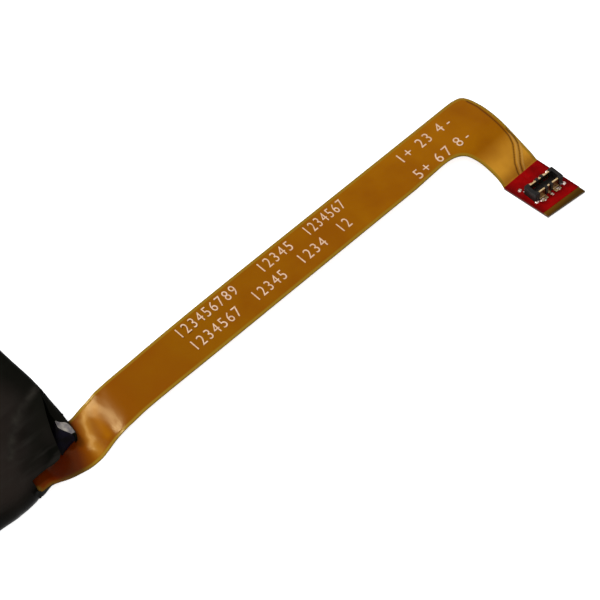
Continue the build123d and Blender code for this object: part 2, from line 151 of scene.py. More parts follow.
# Light: a dim pale world, a large soft box beside the camera, and smaller ones that the bends
# mirror, each with the place it aims at, direction, line of its length, size and radiance
WORLD_STRENGTH = 0.15
LAMP_DISTANCE = 450
LAMPS = (
    ("key", (24, 60, 1), (0.45, -0.45, 0.77), (1, 1, 0), (330, 330), 3.3),
    ("bend_crisp", (24.6, 45.5, 1.3), (-0.688, -0.208, 0.695), (0.724, -0.12, 0.68), (66, 44), 75),
    ("bend_soft", (24.6, 45.5, 1.3), (-0.525, -0.18, 0.832), (0.818, 0.163, 0.551), (100, 44), 36),
    ("bend_wide", (24.6, 45.5, 1.3), (-0.512, -0.316, 0.798), (0.793, 0.184, 0.581), (170, 230), 3),
)


def make_lamp(name, aim, direction, along, size, radiance):
    """A soft box that shines on a place from a direction, with its length along a line."""
    data = bpy.data.lights.new(name, "AREA")
    data.shape = "RECTANGLE"
    data.size = size[0] * MM
    data.size_y = size[1] * MM
    data.energy = radiance * pi * data.size * data.size_y
    lamp = add_object(name, data)
    back = Vector(direction).normalized()
    length = Vector(along)
    length = (length - length.dot(back) * back).normalized()
    lamp.location = (Vector(aim) + LAMP_DISTANCE * back) * MM
    lamp.rotation_euler = Matrix((length, back.cross(length), back)).transposed().to_euler()


def join(tree, value, socket):
    """Set a socket to a value, or link it where the value is a socket too."""
    if isinstance(value, bpy.types.NodeSocket):
        tree.links.new(value, socket)
    else:
        socket.default_value = value


def add_node(tree, kind, *values, operation=None, **inputs):
    """A new node with its first inputs joined to values, and others by name."""
    node = tree.nodes.new("ShaderNode" + kind)
    if operation:
        node.operation = operation
    for value, socket in zip(values, node.inputs):
        join(tree, value, socket)
    for name, value in inputs.items():
        join(tree, value, node.inputs[name.replace("_", " ")])
    return node


def white_rays(tree):
    """A socket that is 1 for the rays that see the world and the floor as white."""
    path = add_node(tree, "LightPath").outputs
    seen = path["Is Camera Ray"]
    for ray in ("Is Glossy Ray", "Is Transmission Ray"):
        seen = add_node(tree, "Math", seen, path[ray], operation="MAXIMUM").outputs[0]
    return seen


def make_world():
    """An even pale world that the camera and mirrors see as white."""
    world = bpy.data.worlds.new("world")
    world.use_nodes = True
    tree = world.node_tree
    strength = add_node(tree, "MapRange", Value=white_rays(tree), To_Min=WORLD_STRENGTH, To_Max=1.0)
    background = tree.nodes["Background"]
    join(tree, (1, 1, 1, 1), background.inputs["Color"])
    join(tree, strength.outputs["Result"], background.inputs["Strength"])
    bpy.context.scene.world = world


# Finished materials by name
FINISHES = {}


class Surface:
    """A node material with a tint that is laid in layers."""

    def __init__(self, name, color, roughness, metallic=0.0, specular=0.5):
        self.name = name
        self.material = bpy.data.materials.new(name)
        self.material.use_nodes = True
        self.tree = self.material.node_tree
        self.shader = self.tree.nodes["Principled BSDF"]
        self.set("Base Color", (*color, 1))
        self.set("Roughness", roughness)
        self.set("Metallic", metallic)
        self.set("Specular IOR Level", specular)
        self.coordinates = self.node("TexCoord").outputs
        self.place = self.coordinates["Object"]

    def set(self, name, value):
        """Set one of the shader's sockets, or link it."""
        join(self.tree, value, self.shader.inputs[name])

    def node(self, kind, *values, **inputs):
        """A new node of the material."""
        return add_node(self.tree, kind, *values, **inputs)

    def axis(self, name, coordinates="Object"):
        """One axis of the place, or of other coordinates."""
        return self.node("SeparateXYZ", self.coordinates[coordinates]).outputs[name]

    def stored(self, name):
        """A value stored on the mesh."""
        node = self.node("Attribute")
        node.attribute_name = name
        return node.outputs["Fac"]

    def noise(self, size, detail=3.0, stretch=(1, 1, 1)):
        """Noise whose grains are about a size in millimetres."""
        scale = [1 / (size * MM * s) for s in stretch]
        mapping = self.node("Mapping", Vector=self.place, Scale=scale)
        place = mapping.outputs["Vector"]
        return self.node("TexNoise", Vector=place, Scale=1.0, Detail=detail).outputs["Fac"]

    def ramp(self, value, stops):
        """Colours along a value, from pairs of place and colour."""
        node = self.node("ValToRGB", value)
        elements = node.color_ramp.elements
        while len(elements) < len(stops):
            elements.new(0.5)
        for element, (place, color) in zip(elements, stops):
            element.position = place
            element.color = (*color, 1)
        return node.outputs["Color"]

    def mix(self, factor, *colors):
        """Two colours mixed by a socket. Each is a socket or a value."""
        node = self.node("Mix", factor)
        node.data_type = "RGBA"
        for color, socket in zip(colors, node.inputs[6:8]):
            join(self.tree, (*color, 1) if isinstance(color, tuple) else color, socket)
        return node.outputs[2]

    def spread(self, value, low, high, start=0.3, end=0.7):
        """A value that goes from low to high as another goes from start to end."""
        return self.node("MapRange", Value=value, From_Min=start, From_Max=end, To_Min=low,
                         To_Max=high).outputs["Result"]

    def cloud(self, size, stops):
        """Start the tint as colours along noise."""
        self.tint = self.ramp(self.noise(size), stops)

    def lay(self, value, low, high, start, end, color):
        """Lay a colour on the tint by a spread value."""
        self.tint = self.mix(self.spread(value, low, high, start, end), self.tint, color)

    def uneven(self, size, low, high):
        """Roughness that varies by noise."""
        self.set("Roughness", self.spread(self.noise(size), low, high))

    def bump(self, size, depth, detail=3.0):
        """Bump by noise, over what is already there. Its size and depth are in millimetres."""
        node = self.node("Bump", Distance=depth * MM, Height=self.noise(size, detail))
        earlier = self.shader.inputs["Normal"].links
        if earlier:
            join(self.tree, earlier[0].from_socket, node.inputs["Normal"])
        self.set("Normal", node.outputs["Normal"])

    def done(self):
        """Colour the material by its tint and list it."""
        self.set("Base Color", self.tint)
        FINISHES[self.name] = self.material


# Painted shadow on the flex near the tape's mouth: a direction in the plan and places along it
SHADE_DIRECTION = (0.47, 0.88, 0)
SHADE_START = 48.3
SHADE_END = 49.9
# Gloss of the flex in the open and under the flap
FLEX_GLOSS = 0.075
GLOOM_GLOSS = 0.014


def polyimide():
    """Amber coverlay over copper: bare borders, embossed lines, a dark cut rim, painted light and
    shade.
    """
    coat = Surface("polyimide", (0.27, 0.09, 0.001), 0.17, specular=FLEX_GLOSS)
    coat.set("Specular Tint", (1.0, 0.72, 0.27, 1))
    x, edge, gloom = coat.axis("X"), coat.stored("edge"), coat.stored("gloom")
    # Painted light along the run: darker near the tape, lighter toward the turn
    coat.tint = coat.ramp(coat.spread(coat.axis("Y"), 0, 1, 35 * MM, 105 * MM),
                          [(0, (0.2, 0.052, 0.0002)), (0.14, (0.205, 0.054, 0.0002)),
                           (0.35, (0.245, 0.084, 0.0002)), (0.9, (0.33, 0.112, 0.0003)),
                           (1, (0.3, 0.098, 0.0006))])
    # Painted sheen on the arm, dimmed again before the mask
    coat.lay(x, 0, 1, 28.6 * MM, 31 * MM, (0.58, 0.26, 0.022))
    coat.lay(x, 0, 1, 32 * MM, 33.3 * MM, (0.38, 0.145, 0.01))
    coat.lay(coat.noise(5), 0, 0.5, 0.4, 0.7, (0.21, 0.048, 0.0002))
    # Painted highlights on the bend: a soft band at the fold, and a lighter patch between the bands
    coat.lay(coat.stored("fold"), 0, 0.55, 0, 1, (0.44, 0.19, 0.014))
    coat.lay(coat.stored("mid_bend_sheen"), 0, 0.8, 0, 1, (0.32, 0.105, 0.0002))
    # The bare border and its worn rim
    coat.lay(edge, 0.8, 0, 0.26, 0.42, (0.28, 0.165, 0.012))
    worn = coat.mix(coat.spread(coat.noise(2), 0.3, 0.9), coat.tint, (0.12, 0.08, 0.006))
    coat.lay(edge, 1, 0, 0.03, 0.1, worn)
    # The bare tip past the mask, and its dark rim
    rim = coat.spread(x, 0, 0.85, 38.95 * MM, 39.8 * MM)
    tip = coat.mix(rim, (0.15, 0.056, 0.0016), (0.03, 0.014, 0.0004))
    coat.lay(x, 0, 1, 33.3 * MM, 33.5 * MM, tip)
    # Painted shadow of the tape on the root of the flex, over its border too
    slant = coat.node("VectorMath", coat.place, SHADE_DIRECTION, operation="DOT_PRODUCT")
    inner = coat.spread(edge, 0.8, 0, 0.2, 0.5)
    dim = coat.mix(inner, (0.105, 0.015, 0.0003), (0.11, 0.06, 0.006))
    coat.lay(slant.outputs["Value"], 1, 0, SHADE_START * MM, SHADE_END * MM, dim)
    # Painted shadow beside the mouth, where the gloss is lower too
    coat.lay(gloom, 0, 0.9, 0, 1, (0.115, 0.011, 0.0001))
    coat.set("Specular IOR Level", coat.spread(gloom, FLEX_GLOSS, GLOOM_GLOSS, 0, 0.55))
    # Painted highlight on the raised traces, and painted shade in the grooves
    coat.lay(coat.stored("ridge"), 0, 0.7, 0, 1, (0.5, 0.27, 0.07))
    coat.lay(coat.stored("groove"), 0, 0.9, 0, 1, (0.07, 0.018, 0.002))
    coat.uneven(3, 0.14, 0.18)
    coat.bump(0.35, 0.0015, 2)
    coat.bump(4, 0.01, 1)
    coat.done()


def black_tape():
    """Thin black tape, satin, fine grain, faint streaks, scuffs, and painted light and shade."""
    coat = Surface("black_tape", (0.004, 0.004, 0.0035), 0.3, specular=0.016)
    coat.cloud(6, [(0.36, (0.0016, 0.0016, 0.001)), (0.6, (0.0125, 0.01, 0.0085))])
    coat.lay(coat.noise(0.9, stretch=(1, 5, 1)), 0, 0.8, 0.5, 0.68, (0.0155, 0.014, 0.0118))
    # Painted shade, darker toward the end of the tape
    coat.lay(coat.axis("Y"), 0, 0.85, 38 * MM, 41.5 * MM, (0.0016, 0.0019, 0.0009))
    # Painted shade on faces that turn away from above
    coat.lay(coat.axis("Z", "Normal"), 0.85, 0, 0.35, 0.85, (0.0014, 0.0018, 0.001))
    # Painted light on a paler side of the front, and painted shade on a darker side
    coat.lay(coat.stored("pale"), 0, 0.6, 0, 1, (0.0165, 0.0122, 0.01))
    coat.lay(coat.stored("dark"), 0, 0.6, 0, 1, (0.0045, 0.0042, 0.0028))
    # Painted highlight along the crest, uneven by noise
    crest_highlight = coat.mix(coat.spread(coat.noise(1.3, 2), 0, 1, 0.38, 0.62),
                      (0.012, 0.0102, 0.0085), (0.022, 0.02, 0.016))
    coat.lay(coat.stored("crest"), 0, 0.9, 0, 1, crest_highlight)
    coat.uneven(2, 0.26, 0.4)
    coat.bump(0.12, 0.006, 2)
    coat.bump(1.2, 0.03)
    coat.done()


def mask_red():
    """Red solder mask, a little uneven over the copper, with painted shade along its long sides."""
    coat = Surface("mask_red", (0.3, 0.0015, 0.002), 0.3, specular=0.07)
    coat.set("Specular Tint", (1.0, 0.2, 0.2, 1))
    coat.cloud(1.2, [(0.3, (0.17, 0.0005, 0.0007)), (0.7, (0.3, 0.0012, 0.0016))])
    # Painted shade along the two long sides
    coat.lay(coat.axis("Y"), 0.75, 0, 98.5 * MM, 99.25 * MM, (0.07, 0.0006, 0.0006))
    coat.lay(coat.axis("Y"), 0, 0.75, 103.7 * MM, 104.15 * MM, (0.07, 0.0006, 0.0006))
    coat.bump(0.3, 0.006)
    coat.done()


def gold():
    """Gold plating with fine drawing marks, painted light on top and painted shade down the leads.
    """
    coat = Surface("contact_gold", (0.5, 0.36, 0.17), 0.3, metallic=1.0)
    # Painted light and shade: brown plating down the sides of the leads, paler where it faces up
    coat.cloud(0.15, [(0.3, (0.05, 0.025, 0.008)), (0.7, (0.22, 0.13, 0.05))])
    bright = coat.ramp(coat.noise(0.2), [(0.3, (0.48, 0.33, 0.14)), (0.7, (0.72, 0.55, 0.33))])
    coat.lay(coat.axis("Z", "Normal"), 0, 1, 0.5, 0.95, bright)
    coat.uneven(0.15, 0.22, 0.4)
    coat.bump(0.08, 0.003)
    coat.done()


def grained(name, color, roughness, grain, start, dark, light, bump, uneven=None, **look):
    """A simple finish: grain between two colours, a fine bump and perhaps uneven roughness."""
    coat = Surface(name, color, roughness, **look)
    coat.cloud(grain, [(start, dark), (1 - start, light)])
    if uneven:
        coat.uneven(*uneven)
    coat.bump(*bump)
    coat.done()


def plain(name, color, roughness, metallic=0.0, grain=0.3):
    """A finish for a piece inside the battery, with its own grain."""
    dark = tuple(0.75 * c for c in color)
    light = tuple(min(1.0, 1.2 * c) for c in color)
    uneven = (2 * grain, 0.85 * roughness, min(1.0, 1.15 * roughness))
    grained(name, color, roughness, grain, 0.3, dark, light,
            (grain / 2, 0.01 * grain), uneven, metallic=metallic)


polyimide()
black_tape()
mask_red()
gold()
# The battery's own film, a little smoother than the tape
grained("black_film", (0.006, 0.006, 0.006), 0.34, 8, 0.3, (0.004, 0.004, 0.004),
        (0.009, 0.0088, 0.0084), (0.2, 0.004, 2), (6, 0.28, 0.42), specular=0.1)
# Painted highlight on the curled tip of the tape's flap
grained("lip_highlight", (0.25, 0.25, 0.24), 0.4, 0.6, 0.35, (0.13, 0.12, 0.13),
        (0.33, 0.3, 0.26), (0.25, 0.02), specular=0.04)
# Painted shade: a dark violet sheet inside the fold of the tape's flap
grained("flap_shade", (0.002, 0.001, 0.002), 0.4, 1, 0.35, (0.001, 0.0003, 0.0008),
        (0.004, 0.003, 0.009), (0.4, 0.03), specular=0.04)
# Solder with a frosted, slightly pink skin
grained("solder", (0.5, 0.42, 0.4), 0.3, 0.25, 0.35, (0.24, 0.17, 0.14),
        (0.66, 0.52, 0.48), (0.12, 0.008), (0.2, 0.18, 0.38), metallic=1.0)
# Moulded black plastic with a dull bloom
grained("connector_black", (0.006, 0.0055, 0.005), 0.45, 0.4, 0.3, (0.003, 0.003, 0.003),
        (0.014, 0.011, 0.009), (0.06, 0.004), specular=0.15)
# Pale ink with worn spots
grained("print_ink", (0.72, 0.5, 0.36), 0.5, 0.4, 0.3, (0.6, 0.38, 0.24),
        (0.8, 0.58, 0.42), (0.1, 0.004), specular=0.2)
plain("pouch_foil", (0.55, 0.56, 0.58), 0.35, 1.0, 1.5)
plain("tab_aluminium", (0.75, 0.76, 0.77), 0.35, 1.0)
plain("tab_nickel", (0.62, 0.59, 0.55), 0.35, 1.0)
plain("tab_sealant", (0.75, 0.73, 0.66), 0.5)
plain("yellow_insulator", (0.65, 0.38, 0.03), 0.35)
plain("board_green", (0.01, 0.11, 0.035), 0.35)
plain("chip_black", (0.02, 0.02, 0.021), 0.5)
plain("capacitor_tan", (0.42, 0.27, 0.16), 0.55)
plain("foam_grey", (0.05, 0.05, 0.055), 0.9, grain=0.6)
plain("stiffener", (0.035, 0.012, 0.002), 0.5, grain=0.8)
plain("hold_down_metal", (0.7, 0.68, 0.66), 0.3, 1.0)


def add_mesh(name, mesh, slots, replaced=()):
    """A new piece of the battery, from a finished mesh in metres."""
    piece = add_object(name, mesh)
    for slot in slots:
        mesh.materials.append(FINISHES[slot])
    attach(piece, "root")
    if replaced:
        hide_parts(*replaced)


def shade_smooth(mesh, angle):
    """Smooth shading with edges sharper than an angle in degrees kept."""
    mesh.polygons.foreach_set("use_smooth", [True] * len(mesh.polygons))
    mesh.set_sharp_from_angle(angle=radians(angle))


def evaluated_mesh(source):
    """The final mesh of an object, which is then removed."""
    bpy.context.view_layer.update()
    final = source.evaluated_get(bpy.context.evaluated_depsgraph_get())
    mesh = bpy.data.meshes.new_from_object(final)
    bpy.data.objects.remove(source)
    return mesh


def closed_mesh(parts, name, sharp=None):
    """A mesh from closed parts, turned outward, and smooth up to a sharp angle."""
    bmesh.ops.recalc_face_normals(parts, faces=parts.faces)
    mesh = bpy.data.meshes.new(name)
    parts.to_mesh(mesh)
    parts.free()
    if sharp:
        shade_smooth(mesh, sharp)
    return mesh


def clamp(value):
    """A value kept between 0 and 1."""
    return min(1.0, max(0.0, value))


def stitch(parts, first, second, closed=True):
    """Faces between two rows of points."""
    count = len(first)
    for j in range(count if closed else count - 1):
        k = (j + 1) % count
        parts.faces.new((first[j], first[k], second[k], second[j]))


def find_span(place, stations):
    """Index of the station before each place, the span to the next one and the share of it."""
    at = np.clip(place, stations[0], stations[-1])
    i = np.clip(np.searchsorted(stations, at, side="right") - 1, 0, len(stations) - 2)
    span = stations[i + 1] - stations[i]
    return i, span, (at - stations[i]) / span


def hermite(t, span, start, end, slope, end_slope):
    """Values at a share of a span on the smooth curve between two values with two slopes."""
    return ((2 * t**3 - 3 * t * t + 1) * start + (t**3 - 2 * t * t + t) * span * slope
            + (3 * t * t - 2 * t**3) * end + (t**3 - t * t) * span * end_slope)


def smooth_values(place, stations, values):
    """Values on smooth curves through rows of values at stations, level beyond the ends."""
    slope = np.gradient(values, stations, axis=0)
    slope[[0, -1]] = 0
    i, span, t = find_span(place, stations)
    if values.ndim > 1:
        span, t = span[:, None], t[:, None]
    return hermite(t, span, values[i], values[i + 1], slope[i], slope[i + 1])


def smooth_height(place, stations):
    """Heights on a smooth curve through the stations."""
    return smooth_values(place, *np.array(stations, float).T)


def bend_lift(x, y):
    """The small lifts of the bend near the tape."""
    start, end, step = BEND_ALONG
    along = np.arange(start, end + step / 2, step)
    table = np.zeros((len(along), len(BEND_ACROSS)))
    table[1:-1] = np.array(BEND_LIFTS) / 1000
    rows = smooth_values(y, along, table)
    across = np.array(BEND_ACROSS)
    slope = np.gradient(rows, across, axis=1)
    i, span, t = find_span(x, across)
    each = np.arange(len(x))
    return hermite(t, span, rows[each, i], rows[each, i + 1], slope[each, i], slope[each, i + 1])


def end_height(x):
    """Height of the top of the flex on its flat end."""
    return END_HEIGHT + (x - END_ROOT) * tan(END_TILT)


def flex_height(x, y):
    """Height of the top of the flex anywhere in its outline."""
    share = np.clip((x - FLEX_LEFT) / (FLEX_RIGHT - FLEX_LEFT), 0, 1)
    left = smooth_height(y, LEFT_HEIGHTS)
    right = smooth_height(y, RIGHT_HEIGHTS)
    height = left + (right - left) * share + bend_lift(x, y)
    near = np.clip((y - ARM_START[0]) / (ARM_START[1] - ARM_START[0]), 0, 1)
    near = near * near * (3 - 2 * near)
    height -= (RUN_HEIGHT - smooth_height(x, ARM_HEIGHTS)) * near
    tip = x > END_ROOT
    height[tip] = end_height(x[tip])
    return height


def curve_points(points, count):
    """Points spaced evenly along a smooth curve through the given points."""
    points = np.array(points, float)
    last = len(points) - 1
    out = []
    for w in np.linspace(0, last, count):
        i = int(min(w, last - 1))
        t = w - i
        before, start, end, after = (points[max(0, min(last, k))] for k in (i - 1, i, i + 1, i + 2))
        out.append(0.5 * (2 * start + (end - before) * t
                          + (2 * before - 5 * start + 4 * end - after) * t * t
                          + (3 * start - before - 3 * end + after) * t**3))
    return np.array(out)


def along_path(points, count):
    """Points spaced evenly along a path."""
    points = np.array(points, float)
    steps = np.hypot(*np.diff(points, axis=0).T)
    travel = np.concatenate(([0], np.cumsum(steps)))
    wanted = np.linspace(0, travel[-1], count)
    return np.column_stack([np.interp(wanted, travel, column) for column in points.T])


# Rows across the flex: steps over its bend and along its run, and counts in its turn and flat end
BEND_STEP = 0.2
STEP_GAP = 0.01
RUN_START = 66
RUN_STEP = 0.5
TURN_START = 90.0
TURN_ROWS = 110
CURVE_POINTS = 200
END_ROWS = 10
END_GAP = 0.003
OUTER_TURN = (
    (FLEX_LEFT, TURN_START), (FLEX_LEFT, 96), (FLEX_LEFT, 101.4), (21.72, 102.3), (21.84, 102.95),
    (22.1, 103.42), (22.58, 103.75), (23.25, 103.98), (24.05, 104.12), (25, 104.22), (26.9, 104.18),
    (28.8, 104.12), (31, 104.02), (32.6, 104.01), ROOT_TOP,
)
INNER_TURN = (
    (FLEX_RIGHT, TURN_START), (27.44, 91.7), (27.38, 93), (27.33, 94.2), (27.33, 95.2),
    (27.42, 96.1), (27.68, 96.93), (28.18, 97.62), (28.9, 98.02), (29.75, 98.27), (30.7, 98.38),
    (31.8, 98.43), ROOT_LOW,
)


def shifted(y, edge, shifts):
    """A point on an edge of the flex, with the small shift that it has there."""
    return edge + float(smooth_height(np.array([y]), shifts)[0]), y


def flex_rows():
    """Left and right edge points of each row across the flex, from its root to its tip."""
    rows = []
    step = STEP_PLACE - STEP_GAP
    for y in np.arange(LEFT_HEIGHTS[0][0], step, BEND_STEP):
        rows.append((shifted(y, FLEX_LEFT, LEFT_SHIFTS), shifted(y, STEP_EDGE, RIGHT_SHIFTS)))
    rows.append(((FLEX_LEFT, step), (STEP_EDGE, step)))
    for y in np.arange(STEP_PLACE, RUN_START, BEND_STEP):
        rows.append((shifted(y, FLEX_LEFT, LEFT_SHIFTS), shifted(y, FLEX_RIGHT, RIGHT_SHIFTS)))
    for y in np.arange(RUN_START, TURN_START - RUN_STEP / 2, RUN_STEP):
        rows.append(((FLEX_LEFT, y), (FLEX_RIGHT, y)))
    outer = along_path(curve_points(OUTER_TURN, CURVE_POINTS), TURN_ROWS)
    inner = along_path(curve_points(INNER_TURN, CURVE_POINTS), TURN_ROWS)
    rows += list(zip(outer, inner))
    root_top, tip_top, root_low, tip_low = np.array((ROOT_TOP, TIP_TOP, ROOT_LOW, TIP_LOW))
    for share in np.linspace(0, 1, END_ROWS):
        top = root_top + (tip_top - root_top) * share
        low = root_low + (tip_low - root_low) * share
        rows.append((top + (END_GAP, 0), low + (END_GAP, 0)))
    return np.array(rows, float)


# Embossed lines between the copper areas of the arm, and the raised traces beside them
GROOVES = (
    ((22.9, 103.45), (24.3, 103.7), (26.3, 103.62), (28, 103.56), (29.4, 103.45), (30.4, 103.03),
     (31.27, 102.28), (32.2, 101.42), (32.96, 101.03), (33.6, 100.9), (34.4, 100.86)),
    ((28.6, 103.86), (29.8, 103.84), (30.72, 103.56), (31.61, 102.88), (32.59, 101.96),
     (33.21, 101.66), (33.89, 101.46), (34.6, 101.36)),
)
RIDGES = (
    ((29.3, 103.66), (30.1, 103.5), (30.81, 103.2), (31.5, 102.5), (32.12, 101.93), (32.99, 101.42),
     (33.7, 101.16), (34.4, 101.1)),
    ((30.6, 103.85), (31.13, 103.6), (31.9, 102.95), (32.68, 102.26), (33.5, 101.95)),
)
# Lines of painted light and shade on the flex beside the tape: a painted highlight at the fold,
# a painted sheen between bands, and painted shadow near the mouth: name, path in the plan and width
FLEX_TONES = (
    ("fold", ((21.7, 45.9), (22.2, 45.1), (23.1, 44.4), (24.3, 43.75), (25.6, 43.3), (27.5, 43)),
      0.62),
    ("mid_bend_sheen", ((22.9, 46), (23.75, 45.4), (25, 45.1), (26.3, 44.8)), 0.5),
    ("gloom", ((25.2, 39.6), (26, 38.7), (26.6, 37.5)), 0.8),
)
# The same for the front of the tape: a painted highlight on its crest, a painted pale side and a
# painted shaded side
TAPE_TONES = (
    ("crest", ((18.05, 42.66), (18.15, 41.9), (18.57, 40.6), (19.27, 38.93), (20.33, 37.63),
      (21.74, 36.04), (22.6, 35.2)), 0.38),
    ("pale", ((17, 38.6), (18.65, 37.6), (20.55, 36.1), (22.86, 34.3), (25.3, 32.4)), 1.9),
    ("dark", ((19.6, 41.1), (21.6, 39.6), (23.3, 37.9), (24.8, 36.1)), 1),
)
# Relief of the flex: its lower border and cut rim, and its lines
BORDER_WIDTH = 0.32
BORDER_SLOPE = 0.08
BORDER_DROP = 0.02
RIM_SIZE = 0.02
GROOVE_DEPTH = 0.03
RIDGE_HEIGHT = 0.03
LINE_WIDTH = 0.1
# Points across the flex, close together at its borders, and steps and sharp edges of the plates
EDGE_STATIONS = (0, 0.03, 0.08, 0.16, 0.24, 0.29, 0.33, 0.38, 0.48)
MIDDLE_STATIONS = 60
PLATE_STEPS = 40
PLATE_SHARP = 40


def distance_to(points, path):
    """Distance of each plan point from a path."""
    best = np.full(len(points), 1e9)
    for start, end in zip(path, path[1:]):
        start, end = np.array(start, float), np.array(end, float)
        span = end - start
        share = np.clip(((points - start) @ span) / (span @ span), 0, 1)
        gap = points - start - share[:, None] * span
        best = np.minimum(best, np.hypot(gap[:, 0], gap[:, 1]))
    return best


def near_line(flat, path, width):
    """How near places lie to a line in the plan: 1 on it, fading over a width."""
    return np.exp(-((distance_to(flat, path) / width) ** 2))


def store(mesh, name, values):
    """Store a value at each point of a mesh for its material."""
    stored = mesh.attributes.new(name, "FLOAT", "POINT")
    stored.data.foreach_set("value", values)


def relief(flat):
    """How much of a groove and of a ridge there is at each plan point."""
    return [np.max([near_line(flat, line, LINE_WIDTH) for line in lines], axis=0)
            for lines in (GROOVES, RIDGES)]


def sheet_mesh(name, top, bottom, across):
    """A closed sheet from rows of points on its top and bottom."""
    size = len(top)
    last = size - across
    faces = []
    for row in range(0, last, across):
        for a in range(row, row + across - 1):
            b = a + across
            faces.append((a, a + 1, b + 1, b))
            faces.append((size + a, size + b, size + b + 1, size + a + 1))
    for a in range(0, last, across):
        b, end = a + across, a + across - 1
        faces.append((a, b, size + b, size + a))
        faces.append((end, size + end, size + end + across, end + across))
    for a in range(across - 1):
        b = last + a
        faces.append((a, size + a, size + a + 1, a + 1))
        faces.append((b, b + 1, size + b + 1, size + b))
    mesh = bpy.data.meshes.new("open")
    mesh.from_pydata((np.vstack((top, bottom)) * MM).tolist(), [], faces)
    parts = bmesh.new()
    parts.from_mesh(mesh)
    bpy.data.meshes.remove(mesh)
    return closed_mesh(parts, name, PLATE_SHARP)


def make_flex():
    """The flex as one bent sheet with lower borders and embossed lines."""
    rows = flex_rows()
    near = np.array(EDGE_STATIONS)
    width = FLEX_RIGHT - FLEX_LEFT
    middle = np.linspace(near[-1], width - near[-1], MIDDLE_STATIONS)[1:-1]
    stations = np.concatenate((near, middle, width - near[::-1])) / width
    across = (rows[:, 1, None, :] - rows[:, 0, None, :]) * stations[None, :, None]
    plan = rows[:, 0, None, :] + across
    flat = plan.reshape(-1, 2)
    edge = np.minimum(distance_to(flat, rows[:, 0]), distance_to(flat, rows[:, 1]))
    groove, ridge = relief(flat)
    height = flex_height(flat[:, 0].copy(), flat[:, 1].copy())
    lift = RIDGE_HEIGHT * ridge - GROOVE_DEPTH * groove
    inward = (edge - BORDER_WIDTH + BORDER_SLOPE / 2) / BORDER_SLOPE
    lift -= BORDER_DROP * (1 - np.clip(inward, 0, 1))
    lift[flat[:, 0] > END_ROOT] = 0
    lift -= RIM_SIZE * (edge < RIM_SIZE)
    top = np.column_stack((flat, height + lift))
    bottom = np.column_stack((flat, height - FLEX_THICKNESS))
    mesh = sheet_mesh("flex_sheet", top, bottom, plan.shape[1])
    tones = [(name, near_line(flat, path, width)) for name, path, width in FLEX_TONES]
    for name, values in [("edge", edge), ("groove", groove), ("ridge", ridge)] + tones:
        store(mesh, name, np.concatenate((values, values)))
    add_mesh("flex_sheet", mesh, ["polyimide"], ["flex_circuit"])


def plate_steps(edges, length):
    """Shares of a length, closer together near its ends."""
    middle = np.linspace(edges[-1], length - edges[-1], PLATE_STEPS)[1:-1] / length
    return np.concatenate((edges / length, middle, 1 - edges[::-1] / length))


def plate_piece(name, tip, low, high, out, rounding):
    """A layer of the stiffened end, between two heights above the flex."""
    root_top, root_low, tip_top, tip_low = np.array((ROOT_TOP, ROOT_LOW, *tip))
    edges = np.array([0, 0.2, 0.5, 1.0]) * rounding
    length = tip_top[0] - root_top[0]
    width = root_top[1] - root_low[1]
    steps = plate_steps(edges, width)
    u, v = np.meshgrid(plate_steps(edges, length), steps, indexing="ij")
    u, v = u.ravel()[:, None], v.ravel()[:, None]
    flat = (root_top * (1 - u) + tip_top * u) * (1 - v) + (root_low * (1 - u) + tip_low * u) * v
    flat += np.column_stack((np.zeros(len(v)), out * (1 - 2 * v[:, 0])))
    reach = np.minimum(np.minimum(u, 1 - u)[:, 0] * length, np.minimum(v, 1 - v)[:, 0] * width)
    drop = rounding * (1 - np.sqrt(1 - (1 - np.clip(reach / rounding, 0, 1)) ** 2))
    base = end_height(flat[:, 0])
    groove, ridge = relief(flat)
    lift = (RIDGE_HEIGHT * ridge - 0.5 * GROOVE_DEPTH * groove) * (high > 0)
    top = np.column_stack((flat, base + high + lift - drop))
    bottom = np.column_stack((flat, base + low))
    return sheet_mesh(name, top, bottom, len(steps))


def make_end():
    """The red mask and the stiffener of the flat end."""
    mask = plate_piece("end_mask", (MASK_TOP, MASK_LOW), -FLEX_THICKNESS * MASK_SINK,
                       MASK_THICKNESS, out=0.015, rounding=0.03)
    add_mesh("end_mask", mask, ["mask_red"], ["red_mask"])
    plate = plate_piece("end_stiffener", (TIP_TOP, TIP_LOW), -FLEX_THICKNESS - STIFFENER_THICKNESS,
                        -FLEX_THICKNESS, out=0, rounding=0.01)
    add_mesh("end_stiffener", plate, ["stiffener"], ["stiffener"])


# Wraps: the battery's film and its end tape are thin skins around a flat rounded section
SIDE_STEPS = 9
END_STEPS = 5
WELD = 1e-4
WRAP_THICKNESS = 0.06
WRAP_SHARP = 50
# The back of a wrap is moved less, and not below the floor
FLOOR_ZONE = 0.05
FLOOR_SHARE = 0.4


def section_points(width, flat_steps):
    """Points around the section, from the left of its back, with their share of its height."""
    straight = width / 2 - SIDE_RADIUS
    points = [(x, 0.0) for x in np.linspace(-straight, straight, flat_steps + 1)]
    for side in (1, -1):
        for i in range(1, SIDE_STEPS + 1):
            angle = pi * i / (SIDE_STEPS + 1)
            points.append((side * (straight + SIDE_RADIUS * sin(angle)),
                           (1 - side * cos(angle)) / 2))
        if side == 1:
            points += [(x, 1.0) for x in np.linspace(straight, -straight, flat_steps + 1)]
    return points


def slab_height(y):
    """Height of the battery's top, which slopes down past the cell."""
    share = clamp((y - CELL_END) / (PACK_END - CELL_END))
    return PACK_THICKNESS - (PACK_THICKNESS - TAPE_END_HEIGHT) * share


